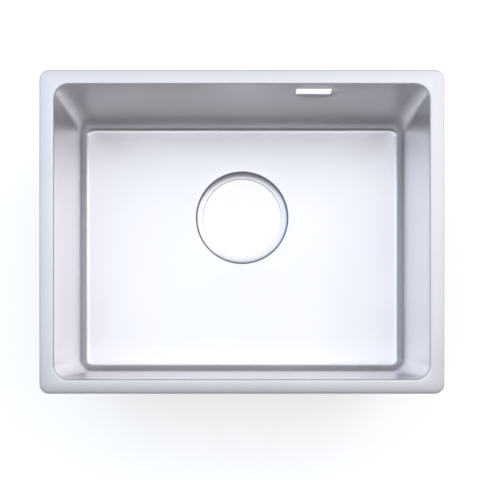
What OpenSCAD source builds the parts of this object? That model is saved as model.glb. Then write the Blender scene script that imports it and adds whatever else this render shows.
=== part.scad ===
// Single-bowl kitchen sink for a worktop cut-out, with its seal, sound pads, clip rails and clamps.
// X runs along the long side, Y to the rear, Z up. The waste neck stands on Z = 0.

/* [Rim] */
// Length of the rim over all, left to right
rim_l = 500; // [450:5:700]
// Width of the rim over all, front to rear
rim_w = 400; // [370:5:520]
// Width of the rim, from its outer edge to the bowl's opening
rim_ledge = 18; // [18:0.5:30]
// Outer corner radius of the rim
rim_corner_r = 12; // [12:0.5:24]
// Height of the rim, from its top to the foot of its turned-down edge
rim_drop = 4; // [3.8:0.1:6]
// Width of the sloped band along the rim's edge
slope_w = 9; // [9:0.5:11]
// Fall of the sloped band
slope_fall = 1.2; // [0.6:0.1:1.6]
// Radius of the rim's rounded outer edge
edge_r = 2; // [1.6:0.1:2]
// Radius of the roll from the rim's top into the bowl
roll_r = 4; // [3:0.5:5]
// Thickness of the steel sheet
sheet_t = 1; // [0.8:0.1:1.2]

/* [Bowl] */
// Depth of the bowl, from the rim's top to its floor
bowl_depth = 200; // [160:5:250]
// Corner radius of the bowl's opening
opening_corner_r = 16; // [14:1:40]
// Radius between the walls and the floor
floor_edge_r = 12; // [8:1:13]
// Radius of the bowl's corners in plan, at the foot of the walls
floor_corner_r = 18; // [14:1:40]
// How far each side wall leans in by the floor
side_inset = 2; // [1:0.5:8]
// How far the front and rear walls lean in by the floor
end_inset = 5; // [1:0.5:8]

/* [Waste hole] */
// Diameter of the waste hole
hole_d = 114; // [89:1:120]
// Diameter of the recess round the waste hole, at the floor
recess_d = 135; // [130:1:150]
// Depth of the recess
recess_depth = 8; // [5:0.5:12]
// Height of the straight neck round the waste hole
neck_h = 4; // [3:0.5:8]
// Distance of the waste hole behind the bowl's middle
hole_back = 43; // [0:1:60]

/* [Overflow] */
// Width of the overflow slot
slot_w = 44.5; // [30:0.5:60]
// Height of the overflow slot
slot_h = 24.5; // [8:0.5:30]
// Distance of the slot below the foot of the rails
slot_gap = 3; // [2:0.5:20]
// Distance of the slot's middle to the right of the bowl's middle
slot_x = 91; // [0:0.5:100]

/* [Seal] */
// Width of the seal under the rim
seal_w = 7; // [4:0.5:7]
// How far the seal stands below the rim's edge
seal_proud = 0.5; // [0.2:0.1:1]

/* [Sound pads] */
// Thickness of the sound pads
pad_t = 3; // [2:0.5:4]
// Corner radius of the sound pads
pad_corner_r = 15; // [5:1:20]
// Bare margin between a pad and the bowl's edges
pad_margin = 24; // [10:1:40]
// Gap between the floor pad and the waste recess
pad_recess_gap = 4; // [2:0.5:10]

/* [Clip rails] */
// Distance of the rails below the rim's top
rail_drop = 5; // [4.5:0.5:8]
// Height of the rails
rail_h = 12; // [11.5:0.5:16]
// Thickness of the rails' strip
rail_t = 1; // [0.8:0.1:1.2]
// Clear width of the rails' hook
hook_gap = 2.4; // [2.2:0.1:2.8]
// Height of the hook's outer lip
lip_h = 8; // [7:0.5:9]
// Distance from a rail's end to the straight wall's end
rail_end_gap = 16; // [5:1:40]

/* [Clamps] */
// Distance of the front and rear clamps from the rails' ends
clip_from_end = 35; // [28:1:60]
// Width of a clamp's hanger along the rail
hanger_w = 14; // [12:0.5:15]
// Thickness of the hanger's strap
hanger_t = 1.2; // [1:0.1:1.4]
// Depth of the hanger's tongue inside the hook
tongue_h = 5; // [3:0.5:5.5]
// Width of the threaded neck on the hanger's foot
nut_d = 7.2; // [6.8:0.1:7.6]
// Height of the threaded neck on the hanger's foot
nut_h = 3; // [2:0.5:5]
// Distance of a clamp's screw from the bowl's wall
screw_out = 5; // [4.4:0.1:5.4]
// Nominal diameter of the clamp's screw
screw_d = 5; // [4:0.5:5]
// Diameter of the screw's head
head_d = 7.4; // [7:0.1:8]
// Height of the screw's head
head_t = 3; // [2.5:0.1:4]
// Width of the slot in the screw's head
drive_w = 1.2; // [0.8:0.1:1.4]
// Diameter of the washer between the head and the claw
washer_d = 8; // [7.4:0.1:8.6]
// Thickness of the washer
washer_t = 1; // [0.8:0.1:1.5]
// Travel of the claw along the screw's axis
claw_travel = 20; // [10:1:30]
// Width of the claw
claw_w = 8; // [7:0.1:8]
// Reach of the claw, from the bowl's wall to its tip
claw_reach = 16.5; // [16.5:0.1:16.7]
// Thickness of the claw's plate and finger
claw_t = 2.5; // [2:0.1:3]
// Height of the claw's finger over its plate
finger_h = 17; // [8:0.5:19]
// Number of teeth on the finger
teeth = 2; // [2:1:4]
// Height of the teeth
tooth_h = 2; // [1:0.1:3]

/* [Hidden] */
// Gap between neighbours that slide or turn past each other
play = 0.3;
// Radial gap round the screw
screw_fit = 0.05;
// End play between the screw's head, the washer and the claw
end_play = 0.1;
// Room left past the screw's end and past the raised claw
end_room = 1;
// How far the screw's end stands past its nut
thread_over = 0.8;
// Layer of glue or weld between the bowl and what is fixed to it
seat_gap = 0.05;
// Thin slice for the flat ends of a blended form
slice = 0.01;
// Lap of the floor over the recess's flat edge
lap = 1;
// How far a cut runs past what it cuts
past = 1;
// Facets of the corners in a blended form
blend_fn = 32;
$fn = 64;

opening_l = rim_l - 2 * rim_ledge;
opening_w = rim_w - 2 * rim_ledge;
floor_z = neck_h + recess_depth;
rim_z = floor_z + bowl_depth;
// Height over which the walls lean in
lean_h = bowl_depth - roll_r - floor_edge_r;

// Depths below the rim's top
rail_foot = rail_drop + rail_h;
slot_foot = rail_foot + slot_gap + slot_h;
lip_top = rail_foot - lip_h;
screw_top = rail_foot + end_room + claw_travel;
foot_top = screw_top + thread_over + nut_h;
foot_bottom = foot_top + hanger_t;
claw_top = foot_bottom + end_room + claw_travel;
claw_bottom = claw_top + claw_t;
washer_bottom = claw_bottom + end_play + washer_t;
head_top = washer_bottom + end_play;
head_bottom = head_top + head_t;
pad_top = head_bottom + pad_margin / 2;

// Distances out from the bowl's wall
lip_in = rail_t + hook_gap;
lip_out = lip_in + rail_t;
leg_in = screw_out + screw_d / 2 + play;
leg_out = leg_in + hanger_t;

// Sides: name, turn about Z, distance of the wall from the middle, length of the opening, lean
SIDES = [
    ["front", 180, opening_w / 2 + sheet_t, opening_l, end_inset],
    ["rear", 0, opening_w / 2 + sheet_t, opening_l, end_inset],
    ["left", 90, opening_l / 2 + sheet_t, opening_w, side_inset],
    ["right", 270, opening_l / 2 + sheet_t, opening_w, side_inset]
];

// Clamps: name, number of the side, place along it as a share of the outermost place
CLAMPS = [
    ["front_left", 0, 1],
    ["front_right", 0, -1],
    ["rear_left", 1, -1],
    ["rear_right", 1, 1],
    ["left", 2, 0],
    ["right", 3, 0]
];

// Length of a side's rail
function rail_l(s) = s[3] - 2 * (opening_corner_r + rail_end_gap);

// How far a side's wall has leaned in at a depth below the rim's top
function leaned(s, depth) = s[4] * (depth - roll_r) / lean_h;

// Place of a clamp along its side
function clamp_x(c) = c[2] * (rail_l(SIDES[c[1]]) / 2 - clip_from_end);

// Moves what is drawn in a side's own frame to that side.
// There X runs along the wall, Y out from it, and Z = 0 is the rim's top.
module at_side(s) {
    translate([0, 0, rim_z])
        rotate([0, 0, s[1]])
            translate([0, s[2], 0])
                children();
}

// Moves what is drawn round a screw's axis to its clamp
module at_clamp(c) {
    at_side(SIDES[c[1]])
        translate([clamp_x(c), screw_out, 0])
            children();
}

// Draws a section, given as distance out and height, as a bar along X
module bar(length) {
    rotate([90, 0, 90])
        linear_extrude(length, center = true)
            children();
}

// Rectangle with round corners
module rounded(l, w, r) {
    square([l - 2 * r, w], center = true);
    square([l, w - 2 * r], center = true);
    for (x = [-1, 1], y = [-1, 1])
        translate([x * (l / 2 - r), y * (w / 2 - r)])
            circle(r);
}

// Runs a section round a rounded rectangle. The section's X is its distance from the corner's centre.
module frame_run(l, w, r) {
    for (y = [-1, 1])
        rotate([0, 0, y > 0 ? 0 : 180])
            translate([0, w / 2 - r, 0])
                bar(l - 2 * r)
                    children();
    for (x = [-1, 1])
        rotate([0, 0, 90 * x])
            translate([0, l / 2 - r, 0])
                bar(w - 2 * r)
                    children();
    for (q = [0, 1, 2, 3])
        translate([(q == 0 || q == 3 ? 1 : -1) * (l / 2 - r), (q < 2 ? 1 : -1) * (w / 2 - r), 0])
            rotate([0, 0, 90 * q])
                rotate_extrude(angle = 90)
                    children();
}

// Ring with a round outer edge, for blending
module round_ring(outer, r) {
    rotate_extrude($fn = blend_fn)
        translate([outer - r, 0])
            intersection() {
                circle(r, $fn = blend_fn);
                translate([0, -r])
                    square([r, 2 * r]);
            }
}

// Inside of the bowl, grown by a wall's thickness and raised past its mouth
module bowl_form(grow, rise) {
    hull()
        for (x = [-1, 1], y = [-1, 1]) {
            translate([
                x * (opening_l / 2 - opening_corner_r),
                y * (opening_w / 2 - opening_corner_r),
                rim_z - roll_r - slice
            ])
                cylinder(h = slice + rise, r = opening_corner_r + grow, $fn = blend_fn);
            translate([
                x * (opening_l / 2 - side_inset - floor_corner_r),
                y * (opening_w / 2 - end_inset - floor_corner_r),
                floor_z + floor_edge_r
            ])
                round_ring(floor_corner_r + grow, floor_edge_r + grow);
        }
}

// Section of the sloped band and its turned-down edge
module edge_section() {
    band_start = rim_corner_r - slope_w;
    band_end = rim_corner_r - edge_r;
    polygon([
        [band_start, 0],
        [band_end, -slope_fall],
        [band_end, -slope_fall - sheet_t],
        [band_start, -sheet_t]
    ]);
    translate([band_end, -slope_fall - edge_r])
        quarter_bend(edge_r);
    translate([rim_corner_r - sheet_t, -rim_drop])
        square([sheet_t, rim_drop - slope_fall - edge_r]);
}

// Quarter turn of the sheet, with its outer radius
module quarter_bend(r) {
    intersection() {
        difference() {
            circle(r);
            circle(r - sheet_t);
        }
        square(r);
    }
}

// Section of the roll from the bowl's wall up to the rim's top
module roll_section() {
    translate([opening_corner_r + roll_r, -roll_r])
        mirror([1, 0])
            quarter_bend(roll_r);
}

module rim() {
    translate([0, 0, rim_z]) {
        frame_run(rim_l, rim_w, rim_corner_r)
            edge_section();
        frame_run(opening_l, opening_w, opening_corner_r)
            roll_section();
        translate([0, 0, -sheet_t])
            linear_extrude(sheet_t)
                difference() {
                    rounded(rim_l - 2 * slope_w, rim_w - 2 * slope_w, rim_corner_r - slope_w);
                    rounded(opening_l + 2 * roll_r, opening_w + 2 * roll_r, opening_corner_r + roll_r);
                }
    }
}

// Dished recess and straight neck round the waste hole
module waste_recess() {
    hole_r = hole_d / 2;
    recess_r = recess_d / 2;
    run = recess_r - hole_r;
    fall = recess_depth / run;
    under = sheet_t * norm([1, fall]);
    translate([0, hole_back, 0])
        rotate_extrude($fn = 96)
            polygon([
                [recess_r + 2 * lap, floor_z],
                [recess_r, floor_z],
                [hole_r, floor_z - recess_depth],
                [hole_r, 0],
                [hole_r + sheet_t, 0],
                [hole_r + sheet_t, floor_z - recess_depth + fall * sheet_t - under],
                [recess_r + (under - sheet_t) / fall, floor_z - sheet_t],
                [recess_r + 2 * lap, floor_z - sheet_t]
            ]);
}

module bowl() {
    color("silver") {
        difference() {
            bowl_form(sheet_t, 0);
            bowl_form(0, past);
            translate([0, hole_back, floor_z - sheet_t - past])
                cylinder(h = sheet_t + 2 * past, d = recess_d + 2 * lap);
            translate([slot_x - slot_w / 2, opening_w / 2 - end_inset, rim_z - slot_foot])
                cube([slot_w, end_inset + sheet_t + past, slot_h]);
        }
        rim();
        waste_recess();
    }
}

module rim_seal() {
    seal_out = rim_corner_r - edge_r;
    seal_in = seal_out - seal_w;
    under_out = -sheet_t - slope_fall;
    color("dimgray")
        translate([0, 0, rim_z])
            frame_run(rim_l, rim_w, rim_corner_r)
                polygon([
                    [seal_out, under_out],
                    [seal_out, -rim_drop - seal_proud],
                    [seal_in, -rim_drop - seal_proud],
                    [seal_in, under_out + slope_fall * seal_w / (slope_w - edge_r)]
                ]);
}

module floor_pad() {
    color("dimgray")
        translate([0, 0, floor_z - sheet_t - seat_gap - pad_t])
            linear_extrude(pad_t)
                difference() {
                    rounded(
                        opening_l - 2 * (side_inset + pad_margin),
                        opening_w - 2 * (end_inset + pad_margin),
                        pad_corner_r
                    );
                    translate([0, hole_back])
                        circle(recess_d / 2 + pad_recess_gap);
                }
}

// Pad on the outside of a side wall, leaning with it
module wall_pad(s) {
    pad_l = s[3] - 2 * (opening_corner_r + pad_margin);
    pad_h = bowl_depth - floor_edge_r - pad_top;
    color("dimgray")
        at_side(s)
            translate([0, 0, -roll_r])
                rotate([-atan(s[4] / lean_h), 0, 0])
                    translate([0, pad_t + seat_gap, roll_r - pad_top - pad_h / 2])
                        rotate([90, 0, 0])
                            linear_extrude(pad_t)
                                rounded(pad_l, pad_h, pad_corner_r);
}

// Hooked strip on the outside of a side wall, under the rim
module rail(s) {
    color("gainsboro")
        at_side(s)
            bar(rail_l(s))
                polygon([
                    [seat_gap - leaned(s, rail_drop), -rail_drop],
                    [rail_t, -rail_drop],
                    [rail_t, rail_t - rail_foot],
                    [lip_in, rail_t - rail_foot],
                    [lip_in, -lip_top],
                    [lip_out, -lip_top],
                    [lip_out, -rail_foot],
                    [seat_gap - leaned(s, rail_foot), -rail_foot]
                ]);
}

// Folded strap that hangs on a rail's lip, with a threaded neck in its foot for the screw
module hanger(c) {
    tongue_out = lip_in - play - screw_out;
    tongue_in = tongue_out - hanger_t;
    bridge_bottom = play - lip_top;
    color("darkgray")
        at_clamp(c)
            difference() {
                union() {
                    bar(hanger_w)
                        polygon([
                            [tongue_in, bridge_bottom - tongue_h],
                            [tongue_out, bridge_bottom - tongue_h],
                            [tongue_out, bridge_bottom],
                            [leg_in - screw_out, bridge_bottom],
                            [leg_in - screw_out, -foot_top],
                            [screw_out - leg_out, -foot_top],
                            [screw_out - leg_out, -foot_bottom],
                            [leg_out - screw_out, -foot_bottom],
                            [leg_out - screw_out, bridge_bottom + hanger_t],
                            [tongue_in, bridge_bottom + hanger_t]
                        ]);
                    translate([0, 0, -foot_bottom])
                        cylinder(h = hanger_t + nut_h, d = nut_d);
                }
                translate([0, 0, -foot_bottom - past])
                    cylinder(h = hanger_t + nut_h + 2 * past, d = screw_d + 2 * screw_fit);
            }
}

// Screw with a slotted head at its foot
module screw(c) {
    color("gainsboro")
        at_clamp(c)
            difference() {
                union() {
                    translate([0, 0, -head_top])
                        cylinder(h = head_top - screw_top, d = screw_d);
                    translate([0, 0, -head_bottom])
                        cylinder(h = head_t, d = head_d);
                }
                translate([-head_d / 2 - past, -drive_w / 2, -head_bottom - past])
                    cube([head_d + 2 * past, drive_w, head_t / 2 + past]);
            }
}

// Washer that carries the claw on the screw's head
module washer(c) {
    color("gainsboro")
        at_clamp(c)
            translate([0, 0, -washer_bottom])
                difference() {
                    cylinder(h = washer_t, d = washer_d);
                    translate([0, 0, -past])
                        cylinder(h = washer_t + 2 * past, d = screw_d + 2 * screw_fit);
                }
}

// Claw that swings on the screw, with a toothed finger that bites under the worktop
module claw(c) {
    tip = claw_reach - screw_out;
    tooth_w = claw_w / teeth;
    color("darkgray")
        at_clamp(c)
            difference() {
                union() {
                    translate([-claw_w / 2, 0, -claw_bottom])
                        cube([claw_w, tip, claw_t]);
                    translate([0, 0, -claw_bottom])
                        cylinder(h = claw_t, d = claw_w);
                    translate([0, tip, -claw_bottom])
                        rotate([90, 0, 0])
                            linear_extrude(claw_t)
                                polygon(concat(
                                    [[-claw_w / 2, 0]],
                                    [for (i = [0 : 2 * teeth]) [
                                        tooth_w * i / 2 - claw_w / 2,
                                        claw_t + finger_h - (i % 2 == 1 ? 0 : tooth_h)
                                    ]],
                                    [[claw_w / 2, 0]]
                                ));
                }
                translate([0, 0, -claw_bottom - past])
                    cylinder(h = claw_t + 2 * past, d = screw_d + 2 * screw_fit);
            }
}

bowl();
rim_seal();
floor_pad();
for (s = SIDES) {
    wall_pad(s);
    rail(s);
}
for (c = CLAMPS) {
    hanger(c);
    screw(c);
    washer(c);
    claw(c);
}
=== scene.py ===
import math

import bmesh
import bpy
from bpy.props import FloatProperty, FloatVectorProperty, IntProperty, PointerProperty
from bpy.types import Operator, Panel, PropertyGroup
from mathutils import Matrix, Vector


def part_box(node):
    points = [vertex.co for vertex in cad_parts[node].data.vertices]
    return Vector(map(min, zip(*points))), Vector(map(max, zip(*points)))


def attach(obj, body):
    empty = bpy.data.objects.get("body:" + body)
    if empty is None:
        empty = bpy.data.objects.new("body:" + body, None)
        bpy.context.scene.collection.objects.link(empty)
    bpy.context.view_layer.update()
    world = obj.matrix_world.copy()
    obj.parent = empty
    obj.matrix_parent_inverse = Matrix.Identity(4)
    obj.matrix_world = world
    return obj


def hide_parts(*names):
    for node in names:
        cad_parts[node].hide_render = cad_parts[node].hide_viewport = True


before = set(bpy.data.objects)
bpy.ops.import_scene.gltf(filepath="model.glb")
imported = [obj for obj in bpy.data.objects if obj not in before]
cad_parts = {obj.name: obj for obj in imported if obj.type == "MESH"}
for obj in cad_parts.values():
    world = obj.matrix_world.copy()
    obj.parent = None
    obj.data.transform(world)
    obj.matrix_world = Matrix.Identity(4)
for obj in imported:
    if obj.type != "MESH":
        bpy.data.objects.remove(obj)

bl_info = {
    "name": "Kitchen sink",
    "version": (1, 0, 0),
    "blender": (4, 5, 0),
    "location": "3D View > Sidebar > Sink",
    "description": "Models and finishes a lay-on kitchen sink over its frame, and lights it",
    "category": "Object",
}

MM = 0.001
BOWL_LOW, BOWL_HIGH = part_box("bowl")
RIM_Z = BOWL_HIGH.z
# The turn about the vertical that takes the rear to each side
TURNS = {
    side: Matrix.Rotation(math.pi / 2 * quarters, 4, "Z")
    for quarters, side in enumerate(("rear", "left", "front", "right"))
}
# Widths of the softened edges
SOFT = {
    "sheet": 0.15 * MM, "pad": 0.5 * MM, "hanger": 0.2 * MM, "screw": 0.12 * MM,
    "washer": 0.18 * MM, "claw": 0.25 * MM,
}
CLAMPS = sorted(name[: -len("_screw")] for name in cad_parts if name.endswith("_screw"))


def length(name, description, millimetres):
    """A length that a user can change."""
    return FloatProperty(
        name=name, description=description, default=millimetres * MM, unit="LENGTH", precision=5
    )


def share(name, description, default):
    """A value from none to all."""
    return FloatProperty(
        name=name, description=description, default=default, min=0, max=1, subtype="FACTOR"
    )


def angle(name, description, degrees):
    """An angle that a user can change."""
    return FloatProperty(
        name=name, description=description, default=math.radians(degrees), subtype="ANGLE"
    )


def strength(name, description, default):
    """The radiance of a lamp's face."""
    return FloatProperty(name=name, description=description, default=default, min=0)


def colour(name, description, default):
    """A colour that a user can change."""
    return FloatVectorProperty(
        name=name, description=description, default=default, min=0, max=1, size=3, subtype="COLOR"
    )


class SinkBowlSizes(PropertyGroup):
    """Sizes of the pressed bowl and its rim."""

    sheet: length("Sheet", "Thickness of the steel sheet", 1)
    rim_width: length("Rim width", "From the rim's outer edge to the opening", 18)
    rim_corner: length("Rim corner", "Outer corner radius of the rim", 12)
    rim_crest: length("Rim crest", "From the rim's outer edge to its highest line", 11)
    rim_fall: length("Rim fall", "How far the crowned rim falls towards its edge", 0.4)
    rim_drop: length("Rim drop", "From the rim's top to the foot of its edge", 4)
    edge_radius: length("Edge radius", "Radius of the rim's outer edge", 1.1)
    roll_radius: length("Roll radius", "Radius of the roll into the bowl", 2.2)
    opening_corner: length("Opening corner", "Corner radius of the opening", 18.5)
    wall_corner: length("Wall corner", "Corner radius at the foot of the walls", 18)
    floor_edge: length("Floor edge", "Radius between the walls and the floor", 12)
    side_lean: length("Side lean", "How far the side walls lean in", 2)
    end_lean: length("End lean", "How far the front and rear walls lean in", 5)
    depth: length("Depth", "From the rim's top to the floor", 200)
    floor_fall: length("Floor fall", "Fall of the floor towards the waste", 0.8)


class SinkWasteSizes(PropertyGroup):
    """Sizes of the waste recess and the overflow slot."""

    back: length("Set back", "Distance of the waste hole behind the middle", 43)
    recess_radius: length("Recess radius", "Radius of the recess at the floor", 66.6)
    seat_radius: length("Seat radius", "Radius of the seat's inner edge", 57.5)
    seat_lift: length("Seat lift", "Height of the seat's inner edge over the neck", 0.6)
    seat_slope: angle("Seat slope", "Slope of the seat's outer edge", 20)
    seat_end: angle("Seat end", "Slope of the seat's inner edge", 8)
    bend: length("Side bend", "Radius between the recess's side and its seat", 3.2)
    hole_radius: length("Hole radius", "Radius of the waste hole", 57)
    neck: length("Neck", "Height of the straight neck", 4)
    crease: length("Crease", "Radius of the recess's upper edge", 0.5)
    hole_edge: length("Hole edge", "Radius of the edge of the hole", 0.3)
    slot_place: length("Slot place", "Distance of the slot to the right of the middle", 91)
    slot_width: length("Slot width", "Width of the overflow slot", 44.5)
    slot_height: length("Slot height", "Height of the overflow slot", 24.5)
    slot_top: length("Slot top", "Depth of the slot's upper edge below the rim", 20)
    slot_corner: length("Slot corner", "Corner radius of the slot", 2)


class SinkUnderSizes(PropertyGroup):
    """Sizes of the seal, pads, rails and clamps under the sink."""

    seal_width: length("Seal width", "Width of the foam seal", 7)
    seal_round: length("Seal round", "Radius of the seal's lower edges", 0.9)
    seal_gap: length("Seal gap", "Gap between the rim and the seal", 0.05)
    pad_corner: length("Pad corner", "Corner radius of the sound pads", 15)
    pad_cell: length("Pad cell", "Spacing of the pads' embossed squares", 12)
    pad_relief: length("Pad relief", "Depth of the pads' embossing", 0.7)
    pad_rib: length("Pad rib", "Half the width of the ribs between the squares", 1.2)
    pad_slope: length("Pad slope", "Width of the squares' sloping sides", 0.8)
    pad_recess: length("Pad recess", "Radius of the floor pad's hole round the waste", 71.5)
    rail_thick: length("Rail thickness", "Thickness of the rails' strip", 1)
    rail_gap: length("Rail hook", "Clear width of the rails' hook", 2.4)
    rail_lip: length("Rail lip", "Height of the hook's outer lip", 8)
    bend: length("Bend", "Inner radius of the folds", 0.6)
    hanger_thick: length("Hanger thickness", "Thickness of the hanger's strap", 1.2)
    tongue: length("Tongue", "Depth of the hanger's tongue in the hook", 5)
    tongue_place: length("Tongue place", "From the screw's axis in to the tongue", 2.5)
    foot_corner: length("Foot corner", "Corner radius of the hanger's foot", 3)
    nut_radius: length("Nut radius", "Radius of the threaded neck in the hanger's foot", 3.6)
    nut_height: length("Nut height", "Height of the threaded neck", 3)
    bore_radius: length("Bore radius", "Radius of the holes for the screw", 2.55)
    screw_radius: length("Screw radius", "Outer radius of the screw's thread", 2.5)
    thread_depth: length("Thread depth", "Depth of the screw's thread", 0.42)
    thread_pitch: length("Thread pitch", "Pitch of the screw's thread", 0.8)
    head_height: length("Head height", "Height of the screw's head", 3)
    head_taper: length("Head taper", "Width of the taper round the head", 0.7)
    taper_height: length("Taper height", "Height of the taper round the head", 0.45)
    screw_point: length("Screw point", "Width and height of the taper at the tip", 0.5)
    drive: length("Drive", "Width of the slot in the screw's head", 1.2)
    claw_thick: length("Claw thickness", "Thickness of the claw", 2.5)
    tooth: length("Tooth", "Height of the claw's teeth", 2)
    teeth: IntProperty(name="Teeth", description="Number of teeth on a claw", default=2, min=1)


class SinkColours(PropertyGroup):
    """Colours of the sink's finishes."""

    steel: colour("Steel", "Satin stainless steel", (0.905, 0.886, 0.912))
    steel_rough: share("Steel roughness", "Roughness of the satin steel", 0.33)
    rim_rough: share("Rim roughness", "Added roughness of the brushed rim", 0.10)
    # Painted shade on the rim: the steel there is darkened, more so towards the rim's outer edge
    painted_rim_shade: share("Rim tone", "Tone of the brushed rim at the opening against the rest", 0.92)
    painted_rim_edge_shade: share("Edge tone", "Tone of the brushed rim at its outer edge against the rest", 0.84)
    # Painted shade in the bend round the waste: this factor darkens the steel there
    painted_bend_shade: share("Bend tone", "Tone of the dull bend round the waste against the rest", 0.45)
    rail: colour("Rail", "Galvanised strip", (0.60, 0.62, 0.64))
    zinc: colour("Zinc", "Zinc-plated clamps", (0.62, 0.62, 0.61))
    screw: colour("Screw", "Bright zinc-plated screws", (0.70, 0.70, 0.68))
    foam: colour("Foam", "Closed-cell sealing foam", (0.045, 0.047, 0.05))
    rubber: colour("Rubber", "Sound-deadening rubber", (0.115, 0.119, 0.128))
    backdrop: colour("Backdrop", "Pale floor and backdrop", (0.82, 0.82, 0.82))


class SinkStage(PropertyGroup):
    """Place of the camera and strength of the lamps."""

    camera_place: FloatVectorProperty(
        name="Camera place", description="Where the camera stands", default=(0.0024, -0.1337, 1.388),
        size=3, subtype="TRANSLATION", unit="LENGTH", precision=4,
    )
    lens: FloatProperty(name="Lens", description="Focal length on a frame 36 mm wide", default=71.5)
    shift: FloatVectorProperty(
        name="Shift", description="Camera shift to the right and up", default=(-0.0079, 0.2085), size=2,
        precision=4,
    )
    world: share("World", "Strength of the plain grey surroundings", 0.07)
    overhead: strength("Overhead", "Radiance of the wide softbox overhead", 1.18)
    cool: colour("Cool light", "Colour of the overhead softboxes", (0.91, 0.95, 1.0))
    left: strength("Left", "Radiance of the overhead softbox on the left", 1.4)
    sky: colour("Sky light", "Colour of the left softbox", (0.60, 0.80, 1.0))
    right: strength("Right", "Radiance added by the softbox on the right", 0.95)
    front: strength("Front", "Radiance added by the strip over the front", 0.36)
    low: strength("Low", "Radiance of the low softboxes", 0.65)
    below: strength("Below", "Radiance of the softbox under the floor", 0.5)
    floor_glow: share("Floor glow", "What the camera sees added to the floor", 0.60)
    metal_glow: share("Metal glow", "What metal sees added to the floor", 0.05)


SETTINGS = {
    "sink_bowl": SinkBowlSizes,
    "sink_waste": SinkWasteSizes,
    "sink_under": SinkUnderSizes,
    "sink_colours": SinkColours,
    "sink_stage": SinkStage,
}


# Selecting, editing and finishing


def deselect():
    """Leaves edit mode and drops what is selected."""
    if bpy.context.mode != "OBJECT":
        bpy.ops.object.mode_set(mode="OBJECT")
    bpy.ops.object.select_all(action="DESELECT")


def only(piece):
    """Makes a piece the only one selected."""
    deselect()
    piece.select_set(True)
    bpy.context.view_layer.objects.active = piece


def edit(piece):
    """Opens a piece for editing, with nothing in it selected."""
    only(piece)
    bpy.ops.object.mode_set(mode="EDIT")
    bpy.ops.mesh.select_all(action="DESELECT")


def whole():
    """Selects all of the open piece."""
    bpy.ops.mesh.select_all(action="SELECT")


def named(name):
    """Names the primitive just added and its mesh."""
    piece = bpy.context.object
    piece.name = piece.data.name = name
    return piece


def pick(piece, kind, test):
    """Selects the vertices, edges or faces of an open piece that pass a test."""
    bpy.ops.mesh.select_mode(type=kind)
    bpy.ops.mesh.select_all(action="DESELECT")
    mesh = bmesh.from_edit_mesh(piece.data)
    for part in {"VERT": mesh.verts, "EDGE": mesh.edges, "FACE": mesh.faces}[kind]:
        if test(part):
            part.select_set(True)
    mesh.select_flush_mode()
    bmesh.update_edit_mesh(piece.data)


def turn_over(piece):
    """Turns all the faces of a piece the other way."""
    edit(piece)
    whole()
    bpy.ops.mesh.flip_normals()
    deselect()


def open_block(name, size, middle):
    """A block of a size at a place, open for editing and selected all over."""
    deselect()
    bpy.ops.mesh.primitive_cube_add(size=1, location=middle)
    block = named(name)
    tidy_place(block)
    edit(block)
    whole()
    bpy.ops.transform.resize(value=size, center_override=middle)
    return block


def apply_modifier(piece, kind, **settings):
    """Adds a modifier to a piece and applies it."""
    only(piece)
    modifier = piece.modifiers.new(kind.title(), kind)
    for key, value in settings.items():
        setattr(modifier, key, value)
    bpy.ops.object.modifier_apply(modifier=modifier.name)


def cut(piece, cutter, operation="DIFFERENCE"):
    """Takes a shape out of a piece, or adds it, and removes the shape."""
    apply_modifier(piece, "BOOLEAN", operation=operation, object=cutter, solver="EXACT")
    bpy.data.objects.remove(cutter)


def fuse(piece, other):
    """Adds a shape to a piece."""
    cut(piece, other, "UNION")


def round_edges(radius, segments):
    """Rounds the edges that are selected in the open piece."""
    bpy.ops.mesh.bevel(offset=radius, segments=segments, affect="EDGES")


def join(piece, *others):
    """Makes several shapes one piece."""
    only(piece)
    for other in others:
        other.select_set(True)
    bpy.ops.object.join()


def face_outwards(piece):
    """Turns the faces of a closed piece outwards."""
    edit(piece)
    whole()
    bpy.ops.mesh.remove_doubles(threshold=1e-6)
    bpy.ops.mesh.normals_make_consistent(inside=False)
    deselect()


def soften(piece, width, segments, limit):
    """Rounds the edges of a piece that are sharper than a limit, and shades it smooth."""
    apply_modifier(
        piece, "BEVEL", width=width, segments=segments, limit_method="ANGLE",
        angle_limit=math.radians(limit),
    )
    smooth(piece)


def smooth(piece, limit=35):
    """Shades a piece smooth, apart from the edges that are sharper than a limit."""
    only(piece)
    bpy.ops.object.shade_smooth_by_angle(angle=math.radians(limit))


def tidy_place(piece):
    """Puts a piece's place into its mesh."""
    only(piece)
    bpy.ops.object.transform_apply(location=True, rotation=True, scale=True)


def copy_to(piece, name, place):
    """A copy of a piece with its own mesh, at another place."""
    only(piece)
    bpy.ops.object.duplicate(linked=False)
    twin = named(name)
    twin.matrix_world = place @ piece.matrix_world
    tidy_place(twin)
    return twin


def finish_piece(piece, body, node, finish):
    """Gives a piece its finish, and lets it stand for its CAD node."""
    tidy_place(piece)
    piece.data.materials.clear()
    piece.data.materials.append(finish)
    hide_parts(node)
    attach(piece, body)


# Rings: a rounded rectangle or a circle of the same number of points at each height


CORNER_STEPS = 16
RING_POINTS = 8 * CORNER_STEPS


def ring_layer(mesh):
    """The layer that numbers the rings."""
    layer = mesh.verts.layers.int.get("ring")
    return mesh.verts.layers.int.new("ring") if layer is None else layer


def number_ring(piece, number):
    """Numbers the points just added."""
    mesh = bmesh.from_edit_mesh(piece.data)
    layer = ring_layer(mesh)
    for point in mesh.verts:
        if point[layer] == 0:
            point[layer] = number
    bmesh.update_edit_mesh(piece.data)


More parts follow.
